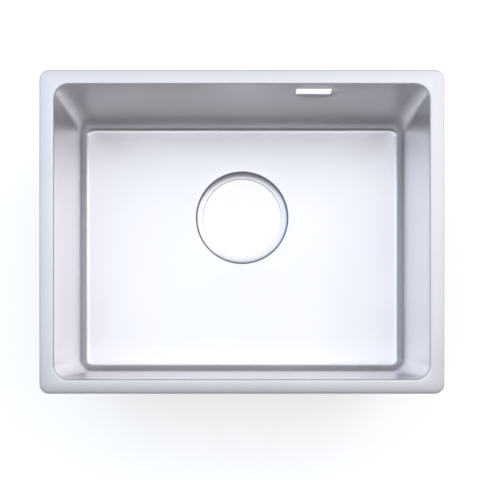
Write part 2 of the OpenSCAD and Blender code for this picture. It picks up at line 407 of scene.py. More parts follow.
def add_rounded_ring(piece, number, half_x, half_y, corner, z):
    """Adds a rounded rectangle to an open piece."""
    bpy.ops.mesh.select_all(action="DESELECT")
    bpy.ops.mesh.primitive_plane_add(size=2, location=(0, 0, z))
    bpy.ops.transform.resize(value=(half_x, half_y, 1), center_override=(0, 0, z))
    bpy.ops.mesh.bevel(
        offset_type="OFFSET", offset=corner, segments=CORNER_STEPS, profile=0.5, affect="VERTICES"
    )
    bpy.ops.mesh.delete(type="ONLY_FACE")
    mesh = bmesh.from_edit_mesh(piece.data)
    layer = ring_layer(mesh)
    long_side = min(half_x, half_y) - corner
    pick(piece, "EDGE", lambda e: e.verts[0][layer] == 0 and e.calc_length() > long_side)
    bpy.ops.mesh.subdivide(number_cuts=CORNER_STEPS - 1)
    number_ring(piece, number)


def add_round_ring(piece, number, radius, back, z):
    """Adds a circle to an open piece."""
    bpy.ops.mesh.select_all(action="DESELECT")
    bpy.ops.mesh.primitive_circle_add(vertices=RING_POINTS, radius=radius, location=(0, back, z))
    number_ring(piece, number)


def skin_rings(piece, first, second, cuts=0):
    """Skins the gap between two rings."""
    mesh = bmesh.from_edit_mesh(piece.data)
    layer = ring_layer(mesh)
    pick(
        piece, "EDGE",
        lambda e: e.verts[0][layer] == e.verts[1][layer] and e.verts[0][layer] in (first, second),
    )
    bpy.ops.mesh.bridge_edge_loops(number_cuts=cuts, interpolation="LINEAR")


def ring_piece(name):
    """An empty piece, open for adding rings."""
    deselect()
    bpy.ops.mesh.primitive_plane_add(size=MM)
    piece = named(name)
    bpy.ops.object.mode_set(mode="EDIT")
    mesh = bmesh.from_edit_mesh(piece.data)
    ring_layer(mesh)
    bmesh.update_edit_mesh(piece.data)
    bpy.ops.mesh.delete(type="VERT")
    return piece


# Finishes


def finish_tree(name):
    """A new finish, as a way to add its nodes and a way to end it with a shader."""
    finish = bpy.data.materials.new(name)
    finish.use_nodes = True
    tree = finish.node_tree
    tree.nodes.clear()

    def node(kind, settings=None, **values):
        """A node's first output; i0, i1 and so on name its inputs by number."""
        made = tree.nodes.new("ShaderNode" + kind)
        for key, value in (settings or {}).items():
            setattr(made, key, value)
        for key, value in values.items():
            socket = made.inputs[int(key[1:]) if key[1:].isdigit() else key.replace("_", " ")]
            if isinstance(value, bpy.types.NodeSocket):
                tree.links.new(value, socket)
            else:
                socket.default_value = value
        return made.outputs[0]

    def end(shader):
        """The finish, with this shader on its surface."""
        tree.links.new(shader, tree.nodes.new("ShaderNodeOutputMaterial").inputs["Surface"])
        return finish

    return node, end


def reckon(node, operation, *values):
    """What comes of one step of arithmetic on numbers or outputs."""
    inputs = {f"i{number}": value for number, value in enumerate(values)}
    return node("Math", {"operation": operation}, **inputs)


def blend_range(node, value, low, high, to_low=0, to_high=1):
    """Maps a value's range to another."""
    return node(
        "MapRange", Value=value, From_Min=low, From_Max=high, To_Min=to_low, To_Max=to_high
    )


def tinted(node, factor, dark, light):
    """A colour between two, by a factor."""
    return node("Mix", {"data_type": "RGBA"}, i0=factor, i6=(*dark, 1), i7=(*light, 1)).node.outputs[2]


def shade(col, factor):
    """A colour made lighter or darker."""
    return tuple(min(1, c * factor) for c in col)


def coat(node, end, tone, rough, height, relief, depth, **values):
    """The finish, ended with the shader that all but the backdrop use, with its fine relief."""
    bump = node("Bump", Height=height, Strength=relief, Distance=depth)
    return end(node("BsdfPrincipled", Base_Color=tone, Roughness=rough, Normal=bump, **values))


def satin_steel(colours, bowl, waste):
    """Fine-ground stainless steel, with its grain along the sheet, and painted shade on the rim and in
    the bend round the waste.
    """
    node, end = finish_tree("satin_steel")
    place = node("TexCoord").node.outputs["Object"]
    normal = node("NewGeometry").node.outputs["Normal"]
    across = node("SeparateXYZ", Vector=normal)
    on_side = reckon(node, "ABSOLUTE", across)
    on_side = reckon(node, "GREATER_THAN", on_side, 0.7)
    along_x = node("Mapping", Vector=place, Scale=(12, 900, 900))
    along_y = node("Mapping", Vector=place, Scale=(900, 12, 900))
    grain_x = node("TexNoise", Vector=along_x, Scale=1.0, Detail=3.0, Roughness=0.6)
    grain_y = node("TexNoise", Vector=along_y, Scale=1.0, Detail=3.0, Roughness=0.6)
    grain = node("Mix", {"data_type": "FLOAT"}, i0=on_side, i2=grain_x, i3=grain_y)
    cloud = node("TexNoise", Vector=place, Scale=9.0, Detail=2.0, Roughness=0.5)
    patch = blend_range(node, cloud, 0.35, 0.65, -0.01, 0.01)
    rough = blend_range(
        node, grain, 0.3, 0.7, colours.steel_rough - 0.005, colours.steel_rough + 0.005
    )
    rough = reckon(node, "ADD", rough, patch)
    height_over = node("SeparateXYZ", Vector=place).node.outputs["Z"]
    on_rim = blend_range(node, height_over, RIM_Z - 3 * MM, RIM_Z - MM)
    rough = reckon(node, "MULTIPLY_ADD", on_rim, colours.rim_rough, rough)
    light = blend_range(node, grain, 0.3, 0.7)
    tone = tinted(node, light, shade(colours.steel, 0.997), shade(colours.steel, 1.003))
    inset = node("VectorMath", {"operation": "ABSOLUTE"}, Vector=place)
    inset = node("VectorMath", {"operation": "SUBTRACT"}, i0=inset, i1=(BOWL_HIGH.x, BOWL_HIGH.y, 0))
    inset = node("SeparateXYZ", Vector=inset).node.outputs
    inset = reckon(node, "MAXIMUM", inset["X"], inset["Y"])
    # Painted shade: the rim is darker than the rest of the steel, most at its outer edge
    painted_rim_shade = blend_range(node, inset, -bowl.rim_width, 0, colours.painted_rim_shade, colours.painted_rim_edge_shade)
    painted_rim_shade = node("Mix", {"data_type": "FLOAT"}, i0=on_rim, i2=1.0, i3=painted_rim_shade)
    tone = node("VectorMath", {"operation": "SCALE"}, Vector=tone, Scale=painted_rim_shade)
    # Painted shade: the bend round the waste, between the seat and the sheet's lower face, is darkened
    # where its crease lies in shade
    low, high = BOWL_LOW.z + waste.neck + 2.2 * MM, RIM_Z - bowl.depth - bowl.floor_fall - bowl.sheet
    over_seat = blend_range(node, height_over, low, low + MM, 1, colours.painted_bend_shade)
    under_floor = blend_range(node, height_over, high - 0.3 * MM, high)
    painted_bend_shade = reckon(node, "MAXIMUM", over_seat, under_floor)
    tone = node("VectorMath", {"operation": "SCALE"}, Vector=tone, Scale=painted_bend_shade)
    wave = node("TexNoise", Vector=place, Scale=5.0, Detail=1.0, Roughness=0.4)
    return coat(node, end, tone, rough, wave, relief=0.2, depth=0.5 * MM, Metallic=1.0)


def galvanised(colours):
    """Galvanised strip with its spangle."""
    node, end = finish_tree("galvanised_strip")
    place = node("TexCoord").node.outputs["Object"]
    wander = node("TexNoise", Vector=place, Scale=120.0, Detail=2.0).node.outputs["Color"]
    place = node("Mix", {"data_type": "VECTOR"}, i0=0.004, i4=place, i5=wander).node.outputs[1]
    flake = node("TexVoronoi", Vector=place, Scale=170.0).node.outputs["Color"]
    flake = node("SeparateXYZ", Vector=flake)
    fine = node("TexNoise", Vector=place, Scale=900.0, Detail=3.0)
    tone = tinted(node, flake, shade(colours.rail, 0.80), shade(colours.rail, 1.12))
    rough = blend_range(node, flake, 0, 1, 0.34, 0.52)
    return coat(node, end, tone, rough, fine, relief=0.15, depth=0.2 * MM, Metallic=1.0)


def zinc_plate(name, base, rough_low, rough_high):
    """Plated steel, slightly mottled, with scuffs."""
    node, end = finish_tree(name)
    place = node("TexCoord").node.outputs["Object"]
    cloud = node("TexNoise", Vector=place, Scale=260.0, Detail=5.0, Roughness=0.6)
    scuff = node("Mapping", Vector=place, Scale=(300, 300, 2600))
    scuff = node("TexNoise", Vector=scuff, Scale=1.0, Detail=4.0, Roughness=0.7)
    mottle = reckon(node, "MULTIPLY", cloud, scuff)
    mottle = blend_range(node, mottle, 0.15, 0.4)
    tone = tinted(node, mottle, shade(base, 0.82), shade(base, 1.08))
    rough = blend_range(node, scuff, 0.3, 0.7, rough_low, rough_high)
    return coat(node, end, tone, rough, scuff, relief=0.2, depth=0.1 * MM, Metallic=1.0)


def seal_foam(colours):
    """Closed-cell foam with open pores on its skin."""
    node, end = finish_tree("closed_cell_foam")
    place = node("TexCoord").node.outputs["Object"]
    pores = node("TexVoronoi", Vector=place, Scale=1500.0)
    fine = node("TexNoise", Vector=place, Scale=2500.0, Detail=3.0)
    height = reckon(node, "ADD", pores, fine)
    tone = tinted(node, pores, shade(colours.foam, 0.7), shade(colours.foam, 1.5))
    return coat(
        node, end, tone, 0.95, height, relief=0.6, depth=0.2 * MM, Metallic=0.0, Specular_IOR_Level=0.2
    )


def pad_rubber(colours):
    """Filled rubber sheet with a fine grain and a little chalky bloom."""
    node, end = finish_tree("filled_rubber")
    place = node("TexCoord").node.outputs["Object"]
    grain = node("TexNoise", Vector=place, Scale=1400.0, Detail=4.0, Roughness=0.6)
    bloom = node("TexNoise", Vector=place, Scale=18.0, Detail=4.0, Roughness=0.6)
    mix = reckon(node, "MULTIPLY_ADD", grain, 0.35, bloom)
    light = blend_range(node, mix, 0.5, 0.9)
    tone = tinted(node, light, shade(colours.rubber, 0.8), shade(colours.rubber, 1.35))
    rough = blend_range(node, mix, 0.5, 0.9, 0.62, 0.85)
    return coat(
        node, end, tone, rough, grain, relief=0.35, depth=0.2 * MM, Metallic=0.0, Specular_IOR_Level=0.35
    )


def backdrop_paint(colours, stage):
    """Pale matt paint that reads white to the camera and in metal, and that is clear from behind."""
    node, end = finish_tree("backdrop_paint")
    path = node("LightPath").node.outputs
    seen = reckon(node, "MAXIMUM", path["Is Camera Ray"], path["Is Transmission Ray"])
    seen = reckon(node, "MULTIPLY", seen, stage.floor_glow)
    glow = reckon(node, "MULTIPLY_ADD", path["Is Glossy Ray"], stage.metal_glow, seen)
    matt = node("BsdfDiffuse", Color=(*colours.backdrop, 1))
    lit = node("AddShader", i0=matt, i1=node("Emission", Color=(1, 1, 1, 1), Strength=glow))
    # Shadow rays pass, so that the lamp under the floor lights the underside of the sink
    behind = node("NewGeometry").node.outputs["Backfacing"]
    behind = reckon(node, "MAXIMUM", behind, path["Is Shadow Ray"])
    return end(node("MixShader", i0=behind, i1=lit, i2=node("BsdfTransparent")))


# Pieces


def parts(steps, first=1):
    """Even parts of the way, up to all of it."""
    return [step / steps for step in range(first, steps + 1)]


def crown_z(bowl, inset):
    """Height of the rim's upper face, at a distance in from its outer edge."""
    return RIM_Z - bowl.rim_fall * ((bowl.rim_crest - inset) / (bowl.rim_crest - bowl.edge_radius)) ** 2


def crown_slope(bowl, inset):
    """Outward fall of the rim's upper face, as an angle."""
    crown = bowl.rim_crest - bowl.edge_radius
    return math.atan(2 * bowl.rim_fall * (bowl.rim_crest - inset) / crown ** 2)


def bowl_profile(bowl):
    """Rings of the sheet's upper face from the foot of the rim's edge down to the floor."""
    out_x, out_y = BOWL_HIGH.x, BOWL_HIGH.y
    roll = bowl.roll_radius
    slope = crown_slope(bowl, bowl.edge_radius)
    edge_in = bowl.edge_radius * (1 - math.sin(slope))
    centre_z = crown_z(bowl, edge_in) - bowl.edge_radius * math.cos(slope)
    rings = []

    def ring(inset, corner, z):
        """One ring, at a distance in from the rim's outer edge."""
        rings.append((out_x - inset, out_y - inset, corner, z))

    # Rounded outer edge
    ring(0, bowl.rim_corner, RIM_Z - bowl.rim_drop)
    for part in parts(6, 0):
        turn = (math.pi / 2 - slope) * part
        inset = bowl.edge_radius * (1 - math.cos(turn))
        ring(inset, bowl.rim_corner - inset, centre_z + bowl.edge_radius * math.sin(turn))
    # Crowned rim, up to the start of the roll. Rings closer in height would be skinned crosswise
    start = -crown_slope(bowl, bowl.rim_width - roll)
    roll_in = bowl.rim_width - roll * (1 - math.sin(start))
    for part in parts(6):
        inset = edge_in + (roll_in - edge_in) * part
        corner = (bowl.rim_corner - edge_in) * (1 - part) + (bowl.opening_corner + roll) * part
        ring(inset, corner, crown_z(bowl, inset))
    # Roll into the bowl
    high = crown_z(bowl, roll_in) - roll * math.cos(start)
    for part in parts(8):
        turn = start + (math.pi / 2 - start) * part
        back = roll * (1 - math.sin(turn))
        ring(bowl.rim_width - back, bowl.opening_corner + back, high + roll * math.cos(turn))
    # Leaning walls
    low = RIM_Z - bowl.depth + bowl.floor_edge
    foot_x = out_x - bowl.rim_width - bowl.side_lean
    foot_y = out_y - bowl.rim_width - bowl.end_lean
    for part in parts(6):
        rings.append((
            out_x - bowl.rim_width - bowl.side_lean * part,
            out_y - bowl.rim_width - bowl.end_lean * part,
            bowl.opening_corner * (1 - part) + bowl.wall_corner * part,
            high * (1 - part) + low * part,
        ))
    # Rounded foot of the walls
    for part in parts(12):
        turn = math.pi / 2 * part
        inset = bowl.floor_edge * (1 - math.cos(turn))
        rings.append((
            foot_x - inset, foot_y - inset, bowl.wall_corner - inset,
            low - bowl.floor_edge * math.sin(turn),
        ))
    return rings


def waste_profile(bowl, waste):
    """Rings of the recess from the floor's edge down to the foot of the neck, as radius and height."""
    floor_z = RIM_Z - bowl.depth - bowl.floor_fall
    crease, bend, edge = waste.crease, waste.bend, waste.hole_edge
    steep, flat = waste.seat_slope, waste.seat_end
    rings = []

    def arc(centre_r, centre_z, radius, start, end, steps, first=0):
        """Part of a round bend, by the slope of the sheet along it."""
        for part in parts(steps, first):
            slope = start + (end - start) * part
            rings.append((centre_r + radius * math.sin(slope), centre_z - radius * math.cos(slope)))

    # Upper crease, from the floor to a steep side
    arc(waste.recess_radius + crease, floor_z - crease, -crease, 0, math.pi / 2, 4)
    # The seat's inner edge, and its curve up to the foot of the side
    foot = waste.neck + waste.seat_lift
    seat_reach = waste.recess_radius - bend * (1 - math.sin(steep)) - waste.seat_radius
    seat_curve = seat_reach / (math.sin(steep) - math.sin(flat))
    seat_z = foot + seat_curve * (math.cos(flat) - math.cos(steep))
    arc(waste.recess_radius - bend, seat_z + bend * math.cos(steep), bend, math.pi / 2, steep, 6)
    arc(
        waste.seat_radius - seat_curve * math.sin(flat), foot + seat_curve * math.cos(flat),
        seat_curve, steep, flat, 6, 1,
    )
    # Rounded edge of the hole, and the neck
    arc(waste.hole_radius + edge, foot - edge, -edge, flat, math.pi / 2, 4, 1)
    rings.append((waste.hole_radius, BOWL_LOW.z))
    return rings


class SINK_OT_bowl(Operator):
    """Model the pressed bowl with its rim, waste recess and overflow slot"""

    bl_idname = "sink.bowl"
    bl_label = "Bowl"

    def execute(self, context):
        bowl, waste = context.scene.sink_bowl, context.scene.sink_waste
        piece = ring_piece("steel_bowl")
        count = 0
        for half_x, half_y, corner, z in bowl_profile(bowl):
            count += 1
            add_rounded_ring(piece, count, half_x, half_y, corner, z)
        floor_edge = count
        for radius, z in waste_profile(bowl, waste):
            count += 1
            add_round_ring(piece, count, radius, waste.back, z)
        for number in range(1, count):
            if number != floor_edge:
                skin_rings(piece, number, number + 1)
        skin_rings(piece, floor_edge, floor_edge + 1, cuts=10)
        whole()
        bpy.ops.mesh.normals_make_consistent(inside=False)
        deselect()
        rim = [f for f in piece.data.polygons if f.center.z > RIM_Z - 0.5 * MM]
        if sum(f.normal.z for f in rim) < 0:
            turn_over(piece)
        apply_modifier(piece, "SOLIDIFY", thickness=bowl.sheet, offset=-1, use_even_offset=True)
        cut(piece, self.slot_cutter(bowl, waste))
        soften(piece, SOFT["sheet"], 2, 60)
        steel = satin_steel(context.scene.sink_colours, bowl, waste)
        finish_piece(piece, "sink", "bowl", steel)
        return {"FINISHED"}

    def slot_cutter(self, bowl, waste):
        """A block with round corners where the overflow slot goes."""
        slot_z = RIM_Z - waste.slot_top - waste.slot_height / 2
        middle = (waste.slot_place, BOWL_HIGH.y - bowl.rim_width, slot_z)
        through = 24 * MM
        cutter = open_block("slot_cutter", (waste.slot_width, through, waste.slot_height), middle)
        pick(cutter, "EDGE", lambda e: abs((e.verts[0].co - e.verts[1].co).y) > through / 2)
        round_edges(waste.slot_corner, 8)
        deselect()
        return cutter


class SINK_OT_seal(Operator):
    """Model the foam seal under the rim"""

    bl_idname = "sink.seal"
    bl_label = "Seal"

    def execute(self, context):
        bowl, under = context.scene.sink_bowl, context.scene.sink_under
        low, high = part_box("rim_seal")
        inset = BOWL_HIGH.x - high.x
        piece = ring_piece("foam_seal")
        round_r = under.seal_round
        under_rim = bowl.sheet + under.seal_gap
        corner = [
            (round_r * (1 - math.cos(turn)), low.z + round_r * (1 - math.sin(turn)))
            for turn in (math.pi / 2 * part for part in parts(4, 0))
        ]
        # Down the outer side, across the lower face and up the inner side
        section = [(0, crown_z(bowl, inset) - under_rim), *corner]
        section += [(under.seal_width - inward, z) for inward, z in reversed(corner)]
        section.append((under.seal_width, crown_z(bowl, inset + under.seal_width) - under_rim))
        for number, (inward, z) in enumerate(section, 1):
            add_rounded_ring(
                piece, number, high.x - inward, high.y - inward,
                max(bowl.rim_corner - inset - inward, 2 * MM), z,
            )
        for number in range(1, len(section)):
            skin_rings(piece, number, number + 1)
        skin_rings(piece, len(section), 1)
        face_outwards(piece)
        smooth(piece, 50)
        finish_piece(piece, "sink", "rim_seal", seal_foam(context.scene.sink_colours))
        return {"FINISHED"}


def model_pad(name, size, middle, under, hole=None):
    """A rubber pad with round corners and embossed squares on its lower face, lying flat."""
    pad = open_block(name, size, middle)
    pick(pad, "EDGE", lambda e: abs((e.verts[0].co - e.verts[1].co).z) > size[2] / 2)
    round_edges(under.pad_corner, 10)
    for axis in (0, 1):
        cells = round(size[axis] / under.pad_cell)
        for line in range(1, cells):
            whole()
            place = Vector(middle)
            place[axis] += size[axis] * (line / cells - 0.5)
            across = Vector((0, 0, 0))
            across[axis] = 1
            bpy.ops.mesh.bisect(plane_co=place, plane_no=across)
    if hole:
        back, radius = hole
        reach = 2 * size[2]
        cut(pad, round_bar("pad_cutter", radius, middle[2] - reach, middle[2] + reach, 128, back))
    # The squares, apart from those that the outline cuts
    least = 0.72 * under.pad_cell ** 2
    edit(pad)
    pick(pad, "FACE", lambda f: f.normal.z < -0.9 and len(f.verts) == 4 and f.calc_area() > least)
    bpy.ops.mesh.inset(thickness=under.pad_rib, depth=0, use_individual=True)
    bpy.ops.mesh.inset(thickness=under.pad_slope, depth=-under.pad_relief, use_individual=True)
    soften(pad, SOFT["pad"], 3, 60)
    return pad


class SINK_OT_pads(Operator):
    """Model the sound-deadening pads on the floor and the walls"""

    bl_idname = "sink.pads"
    bl_label = "Sound pads"

    def execute(self, context):
        bowl, waste = context.scene.sink_bowl, context.scene.sink_waste
        under = context.scene.sink_under
        rubber = pad_rubber(context.scene.sink_colours)
        low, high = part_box("floor_pad")
        pad = model_pad(
            "floor_pad_rubber", high - low, (low + high) / 2, under, (waste.back, under.pad_recess)
        )
        finish_piece(pad, "sink", "floor_pad", rubber)
        thick = high.z - low.z
        lean_height = bowl.depth - bowl.roll_radius - bowl.floor_edge
        for sides, lean in ((("rear", "front"), bowl.end_lean), (("left", "right"), bowl.side_lean)):
            low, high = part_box(sides[0] + "_pad")
            reach = high - low
            tilt = math.atan(lean / lean_height)
            across = 1 if sides[0] == "rear" else 0
            long_side = reach[1 - across]
            tall = (reach.z - thick * math.sin(tilt)) / math.cos(tilt)
            flat = model_pad("wall_pad", Vector((long_side, tall, thick)), Vector((0, 0, 0)), under)
            for side in sides:
                low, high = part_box(side + "_pad")
                middle = (low + high) / 2
                place = (
                    Matrix.Translation(middle)
                    @ TURNS[side]
                    @ Matrix.Rotation(-tilt, 4, "X")
                    @ Matrix.Rotation(math.radians(90), 4, "X")
                )
                twin = copy_to(flat, side + "_pad_rubber", place)
                finish_piece(twin, "sink", side + "_pad", rubber)
            bpy.data.objects.remove(flat)
        return {"FINISHED"}


def fold_strip(name, width, path, thick, bend):
    """A strip folded along a path of points, each a distance out and a height."""
    deselect()
    bpy.ops.mesh.primitive_plane_add(size=1, location=(0, path[0][0], path[0][1]))
    strip = named(name)
    tidy_place(strip)
    edit(strip)
    first = Vector((0, *path[0]))
    pick(strip, "VERT", lambda v: v.co.y < first.y)
    bpy.ops.mesh.delete(type="VERT")
    whole()
    bpy.ops.transform.resize(value=(width, 0, 0), center_override=first)
    out = bmesh.from_edit_mesh(strip.data).verts[:][0].co.y
    bpy.ops.transform.translate(value=(0, first.y - out, 0))
    bpy.ops.mesh.select_mode(type="EDGE")
    whole()
    for (out_a, up_a), (out_b, up_b) in zip(path, path[1:]):
        bpy.ops.mesh.extrude_region_move(
            TRANSFORM_OT_translate={"value": (0, out_b - out_a, up_b - up_a)}
        )
    inner = [Vector((0, *point)) for point in path[1:-1]]
    pick(
        strip, "EDGE",
        lambda e: abs(e.verts[0].co.x - e.verts[1].co.x) > width / 2
        and any((Vector((0, e.verts[0].co.y, e.verts[0].co.z)) - at).length < 1e-5 for at in inner),
    )
    round_edges(bend + thick / 2, 5)
    whole()
    bpy.ops.mesh.normals_make_consistent(inside=False)
    apply_modifier(strip, "SOLIDIFY", thickness=thick, offset=0, use_even_offset=True)
    face_outwards(strip)
    return strip


class SINK_OT_rails(Operator):
    """Model the hooked rails under the rim"""

    bl_idname = "sink.rails"
    bl_label = "Rails"

    def execute(self, context):
        bowl, under = context.scene.sink_bowl, context.scene.sink_under
        finish = galvanised(context.scene.sink_colours)
        thick = under.rail_thick
        for sides in (("rear", "front"), ("left", "right")):
            low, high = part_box(sides[0] + "_rail")
            across = 1 if sides[0] == "rear" else 0
            long_side = (high - low)[1 - across]
            face = BOWL_HIGH[across] - bowl.rim_width + bowl.sheet
            path = [
                (thick / 2, high.z),
                (thick / 2, low.z + thick / 2),
                (1.5 * thick + under.rail_gap, low.z + thick / 2),
                (1.5 * thick + under.rail_gap, low.z + under.rail_lip),
            ]
            strip = fold_strip("rail_strip", long_side, path, thick, under.bend)
            soften(strip, SOFT["sheet"], 2, 60)
            for side in sides:
                place = TURNS[side] @ Matrix.Translation((0, face, 0))
                twin = copy_to(strip, side + "_rail_strip", place)
                finish_piece(twin, "sink", side + "_rail", finish)
            bpy.data.objects.remove(strip)
        return {"FINISHED"}


def clamp_place(clamp):
    """Where a clamp's screw stands, and how the clamp is turned."""
    low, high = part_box(clamp + "_screw")
    axis = ((low.x + high.x) / 2, (low.y + high.y) / 2, 0)
    return Matrix.Translation(axis) @ TURNS[clamp.split("_")[0]]


def place_copies(piece, kind, finish):
    """Puts a copy of a clamp's piece at each clamp, and removes the model."""
    for clamp in CLAMPS:
        twin = copy_to(piece, clamp + "_" + kind + "_made", clamp_place(clamp))
        finish_piece(twin, clamp + "_" + kind, clamp + "_" + kind, finish)
    bpy.data.objects.remove(piece)


def round_bar(name, radius, low_z, high_z, points=32, back=0):
    """A plain round upright bar, as a start or a cutter."""
    deselect()
    bpy.ops.mesh.primitive_cylinder_add(
        vertices=points, radius=radius, depth=high_z - low_z, location=(0, back, (low_z + high_z) / 2)
    )
    bar = named(name)
    tidy_place(bar)
    return bar


def taper_end(bar, radius, end_z, up, width, height):
    """Tapers an end of a round bar, its top where up is 1 and its foot where up is -1."""
    edit(bar)
    pick(bar, "FACE", lambda f: f.normal.z * up > 0.9)
    bpy.ops.mesh.inset(thickness=width, depth=0)
    rim = radius - 0.1 * MM
    pick(bar, "VERT", lambda v: abs(v.co.z - end_z) < 1e-5 and v.co.xy.length > rim)
    bpy.ops.transform.translate(value=(0, 0, -up * height))


def screw_axis():
    """How far back the modelled clamp's screw stands."""
    low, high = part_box("rear_right_screw")
    return (low.y + high.y) / 2


class SINK_OT_hangers(Operator):
    """Model the folded hangers that hang in the rails"""

    bl_idname = "sink.hangers"
    bl_label = "Hangers"

    def execute(self, context):
        under = context.scene.sink_under
        low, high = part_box("rear_right_hanger")
        axis_y = screw_axis()
        half = under.hanger_thick / 2
        foot_y = low.y - axis_y
        path = [
            (-under.tongue_place, high.z - 2 * half - under.tongue),
            (-under.tongue_place, high.z - half),
            (high.y - axis_y - half, high.z - half),
            (high.y - axis_y - half, low.z + half),
            (foot_y, low.z + half),
        ]
        strap = fold_strip("hanger_strap", high.x - low.x, path, under.hanger_thick, under.bend)
        edit(strap)
        pick(
            strap, "EDGE",
            lambda e: abs((e.verts[0].co - e.verts[1].co).z) > half
            and abs(e.verts[0].co.x - e.verts[1].co.x) < 1e-5
            and all(v.co.y < foot_y + 1e-4 and v.co.z < low.z + 2.2 * half for v in e.verts),
        )
        round_edges(under.foot_corner, 6)
        neck_top = low.z + 2 * half + under.nut_height
        fuse(strap, round_bar("hanger_neck", under.nut_radius, low.z + half, neck_top))
        cut(strap, round_bar("hanger_cutter", under.bore_radius, low.z - MM, neck_top + 4 * MM))
        soften(strap, SOFT["hanger"], 2, 55)
        finish = zinc_plate("clamp_zinc_plate", context.scene.sink_colours.zinc, 0.38, 0.55)
        place_copies(strap, "hanger", finish)
        return {"FINISHED"}


class SINK_OT_screws(Operator):
    """Model the threaded screws with their slotted heads"""

    bl_idname = "sink.screws"
    bl_label = "Screws"

    def execute(self, context):
        under = context.scene.sink_under
        low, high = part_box("rear_right_screw")
        head_r = (high.x - low.x) / 2
        head_top = low.z + under.head_height
        core_r = under.screw_radius - under.thread_depth
        # The thread's root lies a little inside the core
        root_cover = 0.02 * MM
        core = round_bar("screw_core", core_r + root_cover, low.z + MM, high.z)
        taper_end(core, core_r, high.z, 1, under.screw_point, under.screw_point)
        head = round_bar("screw_head", head_r, low.z, head_top, 48)
        taper_end(head, head_r, low.z, -1, under.head_taper, under.taper_height)
        drive = (4 * head_r, under.drive, under.head_height)
        cut(head, open_block("drive_cutter", drive, (0, 0, low.z)))
        soften(head, SOFT["screw"], 2, 40)
        # From just inside the head to short of the tip
        thread = self.thread(under, head_top - 0.2 * MM, high.z - 0.9 * MM)
        smooth(core, 30)
        smooth(thread, 75)
        join(head, core, thread)
        head.name = head.data.name = "clamp_screw"
        finish = zinc_plate("screw_zinc_plate", context.scene.sink_colours.screw, 0.22, 0.38)
        place_copies(head, "screw", finish)
        return {"FINISHED"}

    def thread(self, under, low_z, high_z):
        """The screw's thread, as a ridge wound up its core."""
        core_r, pitch = under.screw_radius - under.thread_depth, under.thread_pitch
        deselect()
        bpy.ops.mesh.primitive_plane_add(size=1, location=(0, 0, 0))
        thread = named("screw_thread")
        edit(thread)
        pick(thread, "VERT", lambda v: v.co.x > 0 or v.co.y > 0)
        bpy.ops.mesh.delete(type="VERT")
        whole()
        start = bmesh.from_edit_mesh(thread.data).verts[:][0].co.copy()
        bpy.ops.transform.translate(value=Vector((core_r, 0, low_z)) - start)
        bpy.ops.mesh.select_mode(type="VERT")
        depth, flank, crest = under.thread_depth, pitch * 0.44, pitch * 0.12
        for outward, upward in ((depth, flank), (0, crest), (-depth, flank)):
            bpy.ops.mesh.extrude_vertices_move(TRANSFORM_OT_translate={"value": (outward, 0, upward)})
        turns = int((high_z - low_z) / pitch) - 1
        apply_modifier(
            thread, "SCREW", angle=2 * math.pi, screw_offset=pitch, iterations=turns, steps=20,
            render_steps=20, axis="Z", use_smooth_shade=True,
        )
        face_outwards(thread)
        return thread


class SINK_OT_washers(Operator):
    """Model the washers under the claws"""

    bl_idname = "sink.washers"
    bl_label = "Washers"

    def execute(self, context):
        under = context.scene.sink_under
        low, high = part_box("rear_right_washer")
        washer = round_bar("clamp_washer", (high.x - low.x) / 2, low.z, high.z, 48)
        cut(washer, round_bar("washer_cutter", under.bore_radius, low.z - MM, high.z + MM, 48))
        soften(washer, SOFT["washer"], 3, 50)
        finish = zinc_plate("washer_zinc_plate", context.scene.sink_colours.screw, 0.24, 0.40)
        place_copies(washer, "washer", finish)
        return {"FINISHED"}


class SINK_OT_claws(Operator):
    """Model the toothed claws that grip under the worktop"""

    bl_idname = "sink.claws"
    bl_label = "Claws"

    def execute(self, context):
        under = context.scene.sink_under
        low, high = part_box("rear_right_claw")
        axis_y = screw_axis()
        half = under.claw_thick / 2
        width = high.x - low.x
        tip = high.y - axis_y
        path = [(0, low.z + half), (tip - half, low.z + half), (tip - half, high.z)]
        claw = fold_strip("clamp_claw", width, path, under.claw_thick, under.bend)
        self.teeth(claw, under, high.z, tip, width)
        fuse(claw, round_bar("claw_end", width / 2, low.z, low.z + 2 * half, 48))
        cut(claw, round_bar("claw_cutter", under.bore_radius, low.z - MM, low.z + 4 * half, 48))
        soften(claw, SOFT["claw"], 2, 50)
        finish = zinc_plate("claw_zinc_plate", context.scene.sink_colours.zinc, 0.38, 0.55)
        place_copies(claw, "claw", finish)
        return {"FINISHED"}

    def teeth(self, claw, under, top, tip, width):
        """Cuts the gaps between the teeth out of the finger's top edge."""
        gap = width / under.teeth
        for number in range(under.teeth + 1):
            place = (-width / 2 + gap * number, tip - under.claw_thick / 2, top)
            cutter = open_block("tooth_cutter", (1, 2 * under.claw_thick, 1), place)
            # A square stood on its corner, squeezed to the gap between two teeth. Half its diagonal is
            # taken a hair short, so that neighbouring gaps overlap and leave clean tips
            bpy.ops.transform.rotate(value=math.radians(45), orient_axis="Y", center_override=place)
            diagonal = 0.7071
            squeeze = (gap / 2 / diagonal, 1, under.tooth / diagonal)
            bpy.ops.transform.resize(value=squeeze, center_override=place)
            cut(claw, cutter)


# Stage


def softbox(name, place, target, size, radiance, tint=(1, 1, 1)):
    """A softbox lamp that faces a point, with the radiance and colour of its face."""
    deselect()
    aim = (Vector(target) - Vector(place)).to_track_quat("-Z", "Y").to_euler()
    bpy.ops.object.light_add(type="AREA", location=place, rotation=aim)
    lamp = bpy.context.object
    lamp.name = lamp.data.name = name
    lamp.data.shape = "RECTANGLE"
    lamp.data.size, lamp.data.size_y = size
    lamp.data.energy = math.pi * size[0] * size[1] * radiance
    lamp.data.color = tint
    lamp.visible_camera = False
    return lamp


